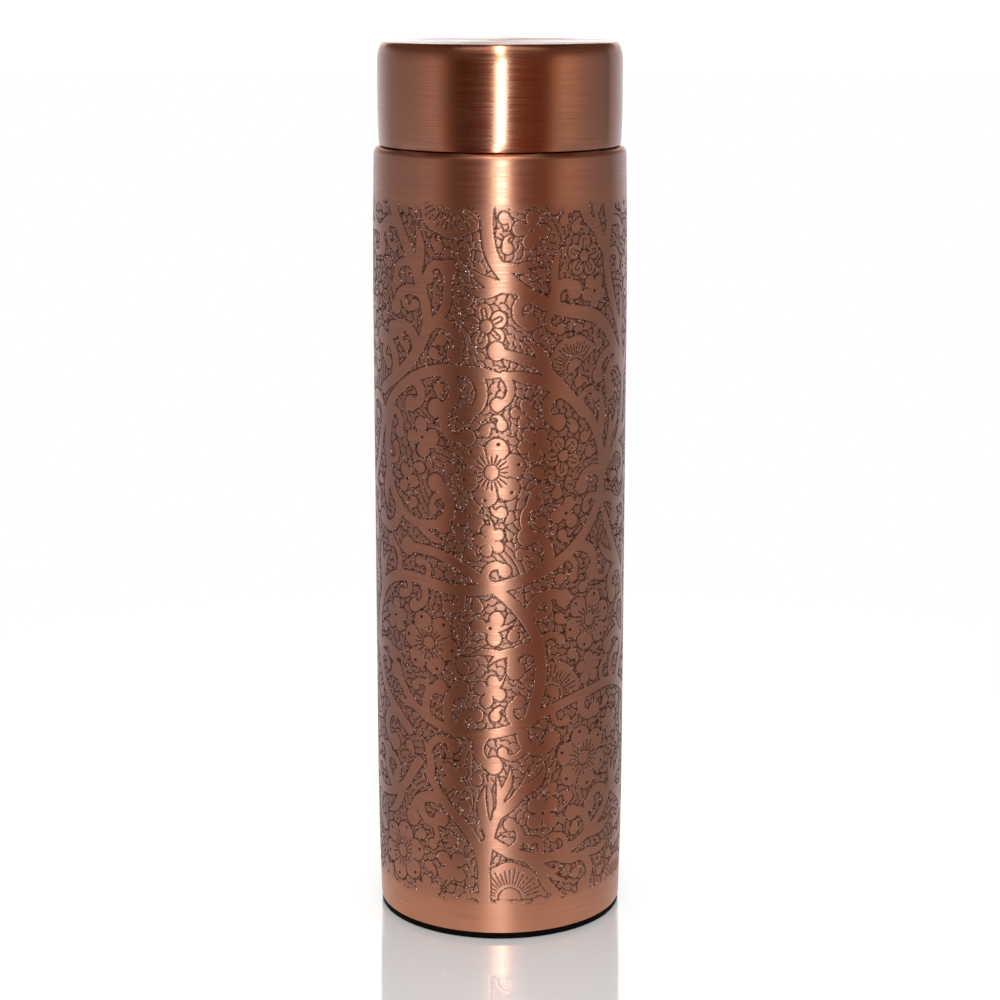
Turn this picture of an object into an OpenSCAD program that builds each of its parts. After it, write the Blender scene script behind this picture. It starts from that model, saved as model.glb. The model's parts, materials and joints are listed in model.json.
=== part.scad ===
// Copper water bottle: a drawn and brazed copper body with a threaded neck, and a
// screw cap almost as wide as the body. Millimetres, +Z up. The origin is the centre
// of the circle that the foot ring stands on, and the Z axis is the axis of the bottle.

/* [Body] */
// Outer diameter of the straight middle of the body
body_d = 75; // [68:0.5:90]
// How much narrower than that the body is at its top end
top_narrowing = 1.2; // [0:0.1:2]
// How much narrower it is at its bottom end
bottom_narrowing = 1.5; // [0:0.1:2]
// Height of the shoulder above the table
body_h = 232; // [170:1:280]
// Length of the gently curved stretch at each end of the body
end_curve_h = 50; // [20:1:60]
// Thickness of the copper sheet
sheet_t = 0.6; // [0.5:0.1:0.8]
// Outer radius where the wall rolls over into the shoulder
shoulder_r = 1.8; // [1:0.1:3]
// Width of the lip that the wall turns inwards at the shoulder
shoulder_lip_w = 4.5; // [3:0.5:6]

/* [Base] */
// Height of the rubber ring that shows under the copper
foot_h = 2; // [1:0.1:3]
// Width of the face that the rubber ring stands on
foot_w = 5; // [3:0.5:8]
// How far the base pan is recessed into the body
base_recess = 5; // [4:0.5:10]
// How far the middle of the base pan is pressed up
base_panel_rise = 1.2; // [0.5:0.1:2]

/* [Neck] */
// Inner diameter of the mouth
mouth_d = 46; // [38:0.5:52]
// Wall of the neck under its thread
neck_wall = 1.2; // [1:0.1:2]
// Height of the neck above the shoulder
neck_h = 15; // [14:0.5:17]

/* [Thread] */
// Rise of the thread in one turn
thread_lead = 4; // [3.5:0.25:4.5]
// Height of a thread ridge above its wall
thread_depth = 0.9; // [0.6:0.1:1]
// Turns of thread on the neck
neck_thread_turns = 1.75; // [1:0.25:2]
// Turns of thread in the cap
cap_thread_turns = 1.5; // [1:0.25:2]

/* [Cap] */
// Outer diameter of the cap
cap_d = 71.4; // [66:0.2:72]
// Height of the cap
cap_h = 29.6; // [27:0.2:36]
// Gap between the cap and the shoulder when the cap is screwed down
cap_gap = 0.4; // [0.3:0.1:1]
// How far in from the side the flat top of the cap begins
cap_edge_w = 1.9; // [1:0.1:3]
// Height of the rounding between the side and the top
cap_edge_h = 5.5; // [2:0.1:7]
// Thickness of the silicone seal
seal_t = 2; // [1:0.1:3]

/* [Hidden] */

$fn = 96;
COPPER = [0.62, 0.34, 0.25];
BRIGHT_COPPER = [0.75, 0.44, 0.33];
BRAZE = [0.78, 0.62, 0.36];
RUBBER = [0.05, 0.05, 0.05];
SILICONE = [0.85, 0.84, 0.80];

joint_gap = 0.05;     // gap that the brazing metal fills by capillary action
embed = 0.3;          // how far a thread ridge reaches into the wall that carries it
ring_steps = 60;      // segments in one turn of a thread
ridge_base_w = 2.2;   // width of a thread ridge at its wall
ridge_crest_w = 1;    // and at its crest
ridge_run_out = 25;   // degrees over which a ridge fades at each end
thread_clear = 0.3;   // between a crest and the wall opposite
flank_clear = 0.35;   // between the flanks that bear when the cap is tight
curve_steps = 8;      // cone bands in each curved end of the body
arc_steps = 8;        // segments in a small rounding

body_r = body_d / 2;
wall_z0 = foot_h;
wall_r0 = body_r - bottom_narrowing / 2;
wall_r1 = body_r - top_narrowing / 2;
lip_r = wall_r1 - shoulder_lip_w;

pan_r = wall_r0 - sheet_t - joint_gap;
pan_top = wall_z0 + base_recess;
pan_corner = 1.5;
panel_r = 26;

plate_t = 0.8;
plate_top = body_h - sheet_t - joint_gap;
plate_r = wall_r1 - sheet_t - joint_gap;
plate_skirt = 4;
plate_corner = 1.6;

neck_r = mouth_d / 2 + neck_wall;
neck_top = body_h + neck_h;
neck_flange_r = neck_r + 3;
neck_flange_t = 0.9;
neck_flange_top = plate_top - plate_t - joint_gap;
neck_thread_z = body_h + 4;
// How far the cap's ridge lies under the neck's ridge, from centre to centre.
ridge_drop = flank_clear + ridge_base_w
    - (ridge_base_w - ridge_crest_w) / 2
      * (thread_depth + thread_clear + 2 * embed) / (thread_depth + embed);

cap_r = cap_d / 2;
cap_z0 = body_h + cap_gap;
cap_top = cap_z0 + cap_h;
cap_hem = 0.3;        // how far the cap's bottom edge is tucked in
cap_hem_h = 2;
ring_bore_r = neck_r + thread_depth + thread_clear;
ring_wall = 1;
seal_z = neck_top + joint_gap;
disc_z = seal_z + seal_t + joint_gap;
disc_rim_h = 3;
closing_t = 0.7;
closing_z = cap_z0 + 0.5;
closing_r = cap_r - cap_hem - sheet_t - joint_gap;

// Points of an elliptical arc with half axes rx and rz, from angle a0 to a1.
function arc(cx, cz, rx, rz, a0, a1) =
    [for (i = [0 : arc_steps])
        let (a = a0 + (a1 - a0) * i / arc_steps) [cx + rx * cos(a), cz + rz * sin(a)]];

// Outer radius of the body at height z: straight in the middle, drawn in at both ends.
function body_r_at(z) =
    z < wall_z0 + end_curve_h
        ? body_r - bottom_narrowing / 2 * pow((wall_z0 + end_curve_h - z) / end_curve_h, 2)
        : z > body_h - end_curve_h
            ? body_r - top_narrowing / 2 * pow((z - body_h + end_curve_h) / end_curve_h, 2)
            : body_r;

// Side of the body from its cut bottom edge up to the roll of the shoulder, set in by inset.
function side(inset) = concat(
    [for (i = [0 : curve_steps])
        let (z = wall_z0 + end_curve_h * i / curve_steps) [body_r_at(z) - inset, z]],
    [for (i = [0 : curve_steps])
        let (z = body_h - end_curve_h
                 + (end_curve_h - shoulder_r) * i / curve_steps) [body_r_at(z) - inset, z]]
);

// A ring of the given section, turned about the axis of the bottle.
module turned(section) {
    rotate_extrude() polygon(section);
}

// A flat ring between two radii.
module washer(r_in, r_out, z, t) {
    translate([0, 0, z]) difference() {
        cylinder(r = r_out, h = t);
        translate([0, 0, -1]) cylinder(r = r_in, h = t + 2);
    }
}

function reversed(list) = [for (i = [len(list) - 1 : -1 : 0]) list[i]];

// How much of a ridge's height there is at this angle: it fades at both ends.
function fade(a, total) = max(0.05, min(1, a / ridge_run_out, (total - a) / ridge_run_out));

// One helical ridge standing on a wall of radius r_wall. It points outwards on a neck
// (way = 1) and inwards in a cap (way = -1), and starts at height z.
module thread_ridge(r_wall, way, z, turns) {
    total = 360 * turns;
    n = ceil(ring_steps * turns);
    points = [for (i = [0 : n])
        let (a = total * i / n,
             crest = r_wall + way * thread_depth * fade(a, total),
             root = r_wall - way * embed,
             mid = z + thread_lead * a / 360)
        for (p = [[root, mid - ridge_base_w / 2], [crest, mid - ridge_crest_w / 2],
                  [crest, mid + ridge_crest_w / 2], [root, mid + ridge_base_w / 2]])
            [p[0] * cos(a), p[0] * sin(a), p[1]]];
    sides = [for (i = [0 : n - 1]) for (k = [0 : 3])
        let (a = 4 * i + k, b = 4 * i + (k + 1) % 4, c = b + 4, d = a + 4)
        for (tri = [[a, b, c], [a, c, d]]) tri];
    ends = [[0, 3, 2], [0, 2, 1], [4 * n, 4 * n + 1, 4 * n + 2], [4 * n, 4 * n + 2, 4 * n + 3]];
    faces = concat(sides, ends);
    polyhedron(points, way > 0 ? faces : [for (f = faces) reversed(f)]);
}

// Drawn tube with its top edge rolled inwards over the shoulder.
module body_wall() {
    outer = concat(
        side(0),
        arc(wall_r1 - shoulder_r, body_h - shoulder_r, shoulder_r, shoulder_r, 0, 90),
        [[lip_r, body_h]]);
    inner = concat(
        side(sheet_t),
        arc(wall_r1 - shoulder_r, body_h - shoulder_r,
            shoulder_r - sheet_t, shoulder_r - sheet_t, 0, 90),
        [[lip_r, body_h - sheet_t]]);
    color(COPPER) turned(concat(outer, reversed(inner)));
}

// Section of the pressed base, whose skirt is brazed inside the foot of the wall.
function pan_section() = concat(
    [[pan_r, wall_z0]],
    arc(pan_r - pan_corner, pan_top - pan_corner, pan_corner, pan_corner, 0, 90),
    [[panel_r, pan_top], [panel_r - base_panel_rise, pan_top + base_panel_rise],
     [0, pan_top + base_panel_rise], [0, pan_top + base_panel_rise - sheet_t],
     [panel_r - base_panel_rise - sheet_t / 2, pan_top + base_panel_rise - sheet_t],
     [panel_r - sheet_t / 2, pan_top - sheet_t]],
    reversed(arc(pan_r - pan_corner, pan_top - pan_corner,
                 pan_corner - sheet_t, pan_corner - sheet_t, 0, 90)),
    [[pan_r - sheet_t, wall_z0]]);

module base_pan() {
    color(COPPER) turned(pan_section());
}

// Fillet of brazing metal inside the bottle, where the base pan meets the wall.
module base_braze() {
    outer = body_r_at(pan_top - 1) - sheet_t - joint_gap;
    color(BRAZE) difference() {
        turned([[outer - 1.6, pan_top], [outer, pan_top - 1], [outer, pan_top + 0.9]]);
        turned(concat([[0, wall_z0]], pan_section()));
    }
}

// Rubber ring under the copper. Its upper lip plugs into the skirt of the base pan.
module foot_ring() {
    foot_r = wall_r0 - 0.15;
    round_r = 0.5;
    lip_out = pan_r - sheet_t - 0.1;
    color(RUBBER) turned(concat(
        [[foot_r - foot_w, 0]],
        arc(foot_r - round_r, round_r, round_r, round_r, -90, 0),
        [[foot_r, foot_h - joint_gap], [lip_out, foot_h - joint_gap],
         [lip_out, foot_h + 3], [lip_out - 1.4, foot_h + 3],
         [lip_out - 1.8, foot_h - joint_gap], [foot_r - foot_w, foot_h - joint_gap]]));
}

// Pressed plate under the rolled lip. It closes the top of the body round the neck.
module shoulder_plate() {
    hole_r = neck_r + joint_gap;
    bend = plate_corner - plate_t;
    color(COPPER) turned(concat(
        [[hole_r, plate_top]],
        reversed(arc(plate_r - plate_corner, plate_top - plate_corner,
                     plate_corner, plate_corner, 0, 90)),
        [[plate_r, plate_top - plate_skirt], [plate_r - plate_t, plate_top - plate_skirt]],
        arc(plate_r - plate_corner, plate_top - plate_corner, bend, bend, 0, 90),
        [[hole_r, plate_top - plate_t]]));
}

// Fillet of brazing metal in the step between the rolled lip and the plate.
module shoulder_braze() {
    r = lip_r - joint_gap;
    color(BRAZE) turned([[r - 0.6, plate_top], [r, plate_top], [r, plate_top + 0.5]]);
}

// Neck with its outside thread, a flange under the plate and a rounded rim.
module neck_collar() {
    rim = neck_wall / 2;
    bore_r = mouth_d / 2;
    bottom = neck_flange_top - neck_flange_t;
    color(BRIGHT_COPPER) union() {
        difference() {
            union() {
                translate([0, 0, bottom]) cylinder(r = neck_r, h = neck_top - rim - bottom);
                translate([0, 0, bottom]) cylinder(r = neck_flange_r, h = neck_flange_t);
            }
            translate([0, 0, bottom - 1]) cylinder(r = bore_r, h = neck_top - bottom + 2);
        }
        turned(concat([[neck_r, neck_top - rim - 0.5]],
                      arc(bore_r + rim, neck_top - rim, rim, rim, 0, 180),
                      [[bore_r, neck_top - rim - 0.5]]));
        thread_ridge(neck_r, 1, neck_thread_z, neck_thread_turns);
    }
}

// Fillet of brazing metal round the foot of the neck.
module neck_braze() {
    r = neck_r + joint_gap;
    color(BRAZE) turned([[r, plate_top], [r + 0.9, plate_top], [r, plate_top + 0.9]]);
}

// Silicone ring that the cap presses onto the rim of the neck.
module cap_seal() {
    color(SILICONE) washer(mouth_d / 2 - 1.5, ring_bore_r - thread_clear, seal_z, seal_t);
}

// Drawn outer cup of the cap.
module cap_shell() {
    r_flat = cap_r - cap_edge_w;
    edge_z = cap_top - cap_edge_h;
    outer = concat(
        [[cap_r - cap_hem, cap_z0], [cap_r, cap_z0 + cap_hem_h]],
        arc(r_flat, edge_z, cap_edge_w, cap_edge_h, 0, 90), [[0, cap_top]]);
    inner = concat(
        [[cap_r - cap_hem - sheet_t, cap_z0], [cap_r - sheet_t, cap_z0 + cap_hem_h]],
        arc(r_flat, edge_z, cap_edge_w - sheet_t, cap_edge_h - sheet_t, 0, 90),
        [[0, cap_top - sheet_t]]);
    color(COPPER) turned(concat(outer, reversed(inner)));
}

// Threaded sleeve of the cap.
module cap_thread_ring() {
    // The ridge starts half a turn round from the neck's, between its first two turns.
    start = neck_thread_z + thread_lead / 2 - ridge_drop;
    color(BRIGHT_COPPER) union() {
        washer(ring_bore_r, ring_bore_r + ring_wall, closing_z, disc_z - joint_gap - closing_z);
        rotate([0, 0, -180]) thread_ridge(ring_bore_r, -1, start, cap_thread_turns);
    }
}

// Copper disc over the mouth, with a rim turned down round the threaded sleeve.
module cap_inner_disc() {
    rim_in = ring_bore_r + ring_wall + joint_gap;
    color(COPPER) union() {
        translate([0, 0, disc_z]) cylinder(r = rim_in + sheet_t, h = sheet_t);
        washer(rim_in, rim_in + sheet_t, disc_z - disc_rim_h, disc_rim_h + sheet_t / 2);
    }
}

// Flat ring that closes the underside of the cap between the sleeve and the cup.
module cap_bottom_ring() {
    color(COPPER) washer(ring_bore_r + ring_wall + joint_gap, closing_r, closing_z, closing_t);
}

// Fillet of brazing metal that holds the flat ring to the sleeve.
module cap_braze() {
    r = ring_bore_r + ring_wall + joint_gap;
    z = closing_z + closing_t;
    color(BRAZE) turned([[r, z], [r + 0.8, z], [r, z + 0.8]]);
}

body_wall();
base_pan();
base_braze();
foot_ring();
shoulder_plate();
shoulder_braze();
neck_collar();
neck_braze();
cap_seal();
cap_shell();
cap_thread_ring();
cap_inner_disc();
cap_bottom_ring();
cap_braze();
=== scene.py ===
"""Looks of the copper water bottle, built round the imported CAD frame.

The engraved wall, the cap, the threads, the seal and the foot are modelled here in more
detail than the CAD holds; the other CAD pieces stay and get their materials. Lengths are
in metres, except in the engraving, which is laid out in millimetres on the unrolled wall.
"""

import json
import math

import bmesh
import bpy
import numpy as np
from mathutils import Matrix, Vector

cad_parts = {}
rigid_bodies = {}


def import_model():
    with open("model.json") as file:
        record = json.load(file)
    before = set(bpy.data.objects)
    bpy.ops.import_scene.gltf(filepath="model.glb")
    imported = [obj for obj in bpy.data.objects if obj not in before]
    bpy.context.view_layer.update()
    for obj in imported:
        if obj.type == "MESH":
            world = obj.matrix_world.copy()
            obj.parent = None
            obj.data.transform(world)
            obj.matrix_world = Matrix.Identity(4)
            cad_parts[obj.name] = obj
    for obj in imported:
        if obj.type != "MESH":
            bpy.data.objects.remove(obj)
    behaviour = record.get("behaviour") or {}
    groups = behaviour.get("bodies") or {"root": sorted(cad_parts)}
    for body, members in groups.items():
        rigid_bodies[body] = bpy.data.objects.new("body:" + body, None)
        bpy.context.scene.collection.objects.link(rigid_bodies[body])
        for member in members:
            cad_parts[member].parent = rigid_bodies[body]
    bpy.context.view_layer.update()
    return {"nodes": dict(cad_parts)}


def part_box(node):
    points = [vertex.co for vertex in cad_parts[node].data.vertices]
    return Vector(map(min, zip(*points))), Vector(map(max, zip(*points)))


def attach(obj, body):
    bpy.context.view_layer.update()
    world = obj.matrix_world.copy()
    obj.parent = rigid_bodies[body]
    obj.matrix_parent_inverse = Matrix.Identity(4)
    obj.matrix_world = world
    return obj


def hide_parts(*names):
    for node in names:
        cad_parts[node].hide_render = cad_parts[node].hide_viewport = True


for leftover in list(bpy.data.objects):
    bpy.data.objects.remove(leftover)
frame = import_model()

MM = 0.001
TAU = 2 * math.pi

# ---- sizes from the frame

WALL_LOW, WALL_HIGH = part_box("body_wall")
CAP_LOW, CAP_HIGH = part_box("cap_shell")
NECK_LOW, NECK_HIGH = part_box("neck_collar")
SLEEVE_LOW, SLEEVE_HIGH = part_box("cap_thread_ring")
SEAL_LOW, SEAL_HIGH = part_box("cap_seal")
_, FOOT_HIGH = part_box("foot_ring")

# Sizes of the design, in millimetres.
SHEET = 0.6
END_CURVE = 50  # height of the stretches where the wall draws in
TOP_NARROWING = 0.6
BOTTOM_NARROWING = 0.75
SHOULDER_ROLL = 1.8
LIP_WIDTH = 4.5
NECK_R, BORE_R = 24.2, 23.0
SLEEVE_BORE_R = 25.4
SEAL_HOLE_R = 21.5
FOOT_WIDTH = 5.0
PAN_SKIRT_R = 35.4  # inside of the base pan's skirt, which holds the foot's lip

BODY_R = WALL_HIGH.x / MM
WALL_Z0 = WALL_LOW.z / MM
WALL_Z1 = WALL_HIGH.z / MM


def wall_radius(z):
    """Outer radius of the wall at height z, in millimetres: both ends draw in a little."""
    below = np.clip((WALL_Z0 + END_CURVE - z) / END_CURVE, 0, 1)
    above = np.clip((z - WALL_Z1 + END_CURVE) / END_CURVE, 0, 1)
    return BODY_R - BOTTOM_NARROWING * below**2 - TOP_NARROWING * above**2


# ---- mesh helpers

ON_AXIS = 1e-7  # metres from the axis that count as on it
SMOOTH_UP_TO = 40  # degrees between faces, beyond which an edge is crisp
SEGMENTS = 256


def circle(count):
    """Angles spaced evenly round a circle."""
    return np.arange(count) * TAU / count


def arc(cx, cz, radius, start, end, steps=3, upright=None):
    """Points of an arc, angles in degrees. An ellipse has another radius upright."""
    angles = np.radians(np.linspace(start, end, steps + 1))
    return [(cx + radius * math.cos(a), cz + (upright or radius) * math.sin(a)) for a in angles]


def rounded(corners, radius, steps):
    """A closed section with each corner rounded by the same small radius."""
    most = 0.45  # share of an edge that one corner may take
    result = []
    for i, corner in enumerate(corners):
        here = Vector(corner)
        to_last = Vector(corners[i - 1]) - here
        to_next = Vector(corners[(i + 1) % len(corners)]) - here
        cut = min(radius, to_last.length * most, to_next.length * most)
        a = here + to_last.normalized() * cut
        b = here + to_next.normalized() * cut
        for k in range(steps + 1):
            t = k / steps
            point = a * (1 - t) ** 2 + here * 2 * t * (1 - t) + b * t**2
            result.append((point.x, point.y))
    return result


def quad_grid(rows, columns, around=True):
    """Corners of a grid's quads. The last row joins the first; around does so for columns."""
    r = np.arange(rows)[:, None]
    c = np.arange(columns if around else columns - 1)[None, :]
    r2, c2 = (r + 1) % rows, (c + 1) % columns
    corners = (r * columns + c, r * columns + c2, r2 * columns + c2, r2 * columns + c)
    return np.stack(corners, axis=-1).reshape(-1, 4)


def mesh_object(name, points, quads, others=()):
    """An object from vertices in millimetres, an array of quads and a few larger faces."""
    mesh = bpy.data.meshes.new(name)
    mesh.vertices.add(len(points))
    mesh.vertices.foreach_set("co", (points * MM).astype(np.float32).ravel())
    sizes = [4] * len(quads) + [len(face) for face in others]
    corners = np.concatenate([quads.ravel(), *others]).astype(np.int32)
    mesh.loops.add(len(corners))
    mesh.loops.foreach_set("vertex_index", corners)
    mesh.polygons.add(len(sizes))
    mesh.polygons.foreach_set("loop_start", np.cumsum([0] + sizes[:-1]).astype(np.int32))
    mesh.polygons.foreach_set("use_smooth", np.ones(len(sizes), bool))
    mesh.update(calc_edges=True)
    return linked(name, mesh)


def linked(name, data):
    """An object that holds data, in the scene."""
    thing = bpy.data.objects.new(name, data)
    bpy.context.scene.collection.objects.link(thing)
    return thing


def ring(name, r, z, angles, smooth_up_to):
    """A closed ring: one row of vertices for each r and z, one column for each angle."""
    z = np.broadcast_to(z, np.broadcast(r, angles).shape)
    points = np.stack([r * np.cos(angles), r * np.sin(angles), z], axis=-1)
    piece = mesh_object(name, points.reshape(-1, 3), quad_grid(*z.shape))
    piece.data.set_sharp_from_angle(angle=math.radians(smooth_up_to))
    return piece


def turned(name, section, segments=SEGMENTS):
    """A ring turned from a closed section of (r, z) points, anticlockwise, in mm."""
    r, z = np.array(section).T[:, :, None]
    piece = ring(name, r, z, circle(segments), SMOOTH_UP_TO)
    weld_axis(piece)
    return piece


def weld_axis(piece):
    """Merges the vertices that lie on the bottle's axis and drops faces with no area."""
    work = bmesh.new()
    work.from_mesh(piece.data)
    on_axis = [v for v in work.verts if v.co.xy.length < ON_AXIS]
    if on_axis:
        bmesh.ops.remove_doubles(work, verts=on_axis, dist=ON_AXIS)
        work.to_mesh(piece.data)
    work.free()


def dress(piece, material):
    """Gives the piece this material and no other."""
    piece.data.materials.clear()
    piece.data.materials.append(material)
    return piece


# ---- materials


class Nodes:
    """Short ways to add nodes to a tree. A value is a number, a colour or another output."""

    def __init__(self, tree):
        self.tree = tree

    def put(self, socket, value):
        """Links an output to the socket, or sets the socket's own value."""
        if isinstance(value, bpy.types.NodeSocket):
            self.tree.links.new(value, socket)
        elif socket.type == "RGBA":
            socket.default_value = (*value, 1)
        else:
            socket.default_value = value

    def fill(self, sockets, values):
        for key, value in values.items():
            self.put(sockets[key], value)

    def out(self, kind, output, inputs=None, **settings):
        """Adds a node and returns one of its outputs."""
        node = self.tree.nodes.new("ShaderNode" + kind)
        for key, value in settings.items():
            setattr(node, key, value)
        self.fill(node.inputs, inputs or {})
        return node.outputs[output]

    def maths(self, operation, *values):
        return self.out("Math", 0, dict(enumerate(values)), operation=operation)

    def place(self):
        return self.out("TexCoord", "Object")

    def noise(self, place, scale, detail, roughness):
        return self.out("TexNoise", "Fac", {"Vector": place, "Scale": scale, "Detail": detail,
                                            "Roughness": roughness})

    def spread(self, value, low, high, to_low=0, to_high=1, fade="LINEAR"):
        """value, with low to high stretched over to_low to to_high."""
        ranges = {"From Min": low, "From Max": high, "To Min": to_low, "To Max": to_high}
        return self.out("MapRange", 0, {"Value": value, **ranges}, interpolation_type=fade)

    def blend(self, share, below, above):
        """The colour above over the one below."""
        return self.out("Mix", 2, {0: share, 6: below, 7: above}, data_type="RGBA")

    def bump(self, height, strength, depth, **normal):
        """A relief, with its depth in millimetres."""
        return self.out("Bump", 0, {"Height": height, "Strength": strength,
                                    "Distance": depth * MM, **normal})


def new_material(name):
    """A material, its Principled shader and its nodes."""
    material = bpy.data.materials.new(name)
    material.use_nodes = True
    tree = material.node_tree
    return material, tree.nodes["Principled BSDF"].inputs, Nodes(tree)


LINES_ROUND, LINES_UP = 60, 2400  # how fast the brushed lines change, per metre
LINE_GRAIN = (1.0, 4.0, 0.65)  # scale, detail and roughness of a noise, here and below
STAIN_GRAIN = (42.0, 5.0, 0.6)
BURR_GRAIN = (1500.0, 2.0, 0.5)
RUBBER_GRAIN = (2500.0, 2.0, 0.5)
LINE_DEPTH = 0.002
LINE_NOISE = (0.3, 0.7)  # noise where a line is palest and darkest
LINE_SHADE = 0.7  # share of the dark colour in the darkest line
STAIN_NOISE = (0.42, 0.72)  # noise where the tarnish starts to colour and is full
DULL_NOISE = (0.4, 0.75)  # the same for its roughness
DULLNESS = 0.12  # roughness that full tarnish adds
ACROSS_LINES = 0.25  # turns the gloss across the lines

TARNISH = (0.40, 0.205, 0.155)
# The engraved part's darker colour: part its satin finish, part painted shade.
ENGRAVED_SATIN_AND_SHADE = (0.40, 0.19, 0.135)
OXIDE = (0.052, 0.018, 0.011)
GROOVE_EDGE = (0.45, 0.27, 0.22)
BURR = (0.95, 0.66, 0.56)
BURR_HEIGHT = 0.22  # of the bright specks along the engraved lines
BURR_NOISE = (0.57, 0.66)  # noise where a burr starts and is full
SATIN_AND_SHADE_SHARE = 0.6  # share of the engraved colour on the engraved part: part satin finish, part painted shade
ZONE_ROUGH, GROOVE_ROUGH, BURR_ROUGH = 0.1, 0.1, -0.27


def brushed(nodes, up):
    """Noise that follows the turning: slow round the bottle, fast up it."""
    place = nodes.tree.nodes.new("ShaderNodeSeparateXYZ")
    nodes.put(place.inputs[0], nodes.place())
    scaled = {axis: nodes.maths("MULTIPLY", place.outputs[axis], scale)
              for axis, scale in (("X", LINES_ROUND), ("Y", LINES_ROUND), ("Z", up))}
    return nodes.noise(nodes.out("CombineXYZ", 0, scaled), *LINE_GRAIN)


def copper(name, colour, dark, roughness, anisotropy=0.0, tarnish=0.35, up=LINES_UP, streak=0.4,
           engraved=False):
    """Brushed copper: fine lines round the bottle, slow tarnish and an elongated gloss."""
    material, shader, nodes = new_material(name)
    lines = brushed(nodes, up)
    blotches = nodes.noise(nodes.place(), *STAIN_GRAIN)
    surface = nodes.blend(nodes.spread(lines, *LINE_NOISE, 0, LINE_SHADE), colour, dark)
    surface = nodes.blend(nodes.spread(blotches, *STAIN_NOISE, 0, tarnish), surface, TARNISH)
    rough = nodes.spread(lines, *LINE_NOISE, roughness * (1 - streak), roughness * (1 + streak))
    dull = nodes.spread(blotches, *DULL_NOISE, 0, tarnish * DULLNESS)
    rough = nodes.maths("ADD", rough, dull)
    normal = nodes.bump(lines, 1.0, LINE_DEPTH)
    if engraved:
        surface, rough, normal, tint = engraved_look(nodes, surface, rough, normal)
        nodes.put(shader["Specular Tint"], tint)
    nodes.fill(shader, {"Base Color": surface, "Roughness": rough, "Normal": normal,
                        "Metallic": 1.0})
    if anisotropy:
        tangent = nodes.out("Tangent", 0, direction_type="RADIAL", axis="Z")
        nodes.fill(shader, {"Tangent": tangent, "Anisotropic": anisotropy,
                            "Anisotropic Rotation": ACROSS_LINES})
    return material


def engraved_look(nodes, surface, rough, normal):
    """Adds the satin of the engraved part, with a darker tint that is part finish and part painted
    shade, the oxide in its lines and burrs along them.
    """
    groove = nodes.out("Attribute", "Fac", attribute_name="groove")
    zone = nodes.out("Attribute", "Fac", attribute_name="zone")
    specks = nodes.noise(nodes.place(), *BURR_GRAIN)
    halfway = nodes.maths("MULTIPLY", groove, nodes.maths("SUBTRACT", 1.0, groove))
    rim = nodes.maths("MULTIPLY", halfway, 4.0)  # 1 halfway down a line's flank
    burr = nodes.maths("MULTIPLY", rim, nodes.spread(specks, *BURR_NOISE))
    # darker tint on the engraved part, part satin finish and part painted shade
    surface = nodes.blend(nodes.maths("MULTIPLY", zone, SATIN_AND_SHADE_SHARE), surface, ENGRAVED_SATIN_AND_SHADE)
    for share, colour in ((groove, OXIDE), (burr, BURR)):
        surface = nodes.blend(share, surface, colour)
    for share, change in ((zone, ZONE_ROUGH), (groove, GROOVE_ROUGH), (burr, BURR_ROUGH)):
        rough = nodes.maths("ADD", rough, nodes.maths("MULTIPLY", share, change))
    height = nodes.maths("MULTIPLY", specks, burr)
    normal = nodes.bump(height, 1.0, BURR_HEIGHT, Normal=normal)
    return surface, rough, normal, nodes.blend(groove, (1, 1, 1), GROOVE_EDGE)


def rubber(name, colour, roughness, gloss=0.5):
    """Moulded rubber with a fine grain."""
    material, shader, nodes = new_material(name)
    grain = nodes.noise(nodes.place(), *RUBBER_GRAIN)
    vary, strength, depth = 0.08, 0.4, 0.05
    rough = nodes.spread(grain, 0, 1, roughness - vary, roughness + vary)
    nodes.fill(shader, {"Base Color": colour, "Roughness": rough, "Specular IOR Level": gloss,
                        "Normal": nodes.bump(grain, strength, depth)})
    return material


COPPER = (0.62, 0.275, 0.165)
COPPER_DARK = (0.50, 0.2, 0.11)

ENGRAVED_COPPER = copper("engraved_copper", COPPER, COPPER_DARK, 0.315, 0.68, streak=0.2,
                         engraved=True)
BRUSHED_COPPER = copper("brushed_copper", COPPER, COPPER_DARK, 0.22, 0.8)
BARE_COPPER = copper("bare_copper", (0.72, 0.38, 0.26), (0.58, 0.27, 0.17), 0.34, tarnish=0.6)
TURNED_COPPER = copper("turned_copper", (0.78, 0.42, 0.29), (0.66, 0.32, 0.2), 0.2, tarnish=0.2)
BRAZE = copper("braze", (0.80, 0.62, 0.34), (0.62, 0.43, 0.2), 0.3, tarnish=0.7, up=900)
# Near-black, for the ring at the foot just under the wall.
NEAR_BLACK_FOOT = rubber("black_rubber", (0.003, 0.0018, 0.0015), 0.6, 0.02)
SILICONE = rubber("silicone", (0.80, 0.79, 0.74), 0.4)

# ---- engraving

SECTORS = 10  # closed pieces that the wall is cut into
SECTOR_COLUMNS = 96
REPEATS = 2  # times that the pattern goes round the wall
TILE = TAU * BODY_R / REPEATS
TILE_COLUMNS = SECTORS * SECTOR_COLUMNS // REPEATS
ENGRAVED_FROM, ENGRAVED_TO = 10.5, 219.0
ROW_STEP = 0.25
REACH = 9.0  # how far from a shape its distance is worked out
PATH_STEP = 0.8  # between the points of a curved line
DOT = 0.3  # radius of a punched dot
EDGE_ROWS = 8  # rows at the top and bottom that get no scattered motif
MOST_SCATTERED = 400
SEED = 11
SHOOT_SIZES = (2.9, 2.6, 2.2, 1.8)
LOOSE_CLOVER = (4.4, 5.8)  # the room that it needs, and its size
LOOSE_BUD = (2.8, 1.9)
PATCH, CELL = 10.0, 3.0  # spacing of the ground's patches, and of its cells
GROUND_SHARES = (0.62, 0.16, 0.22)  # of the patches: fish scales, rungs and cells


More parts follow.
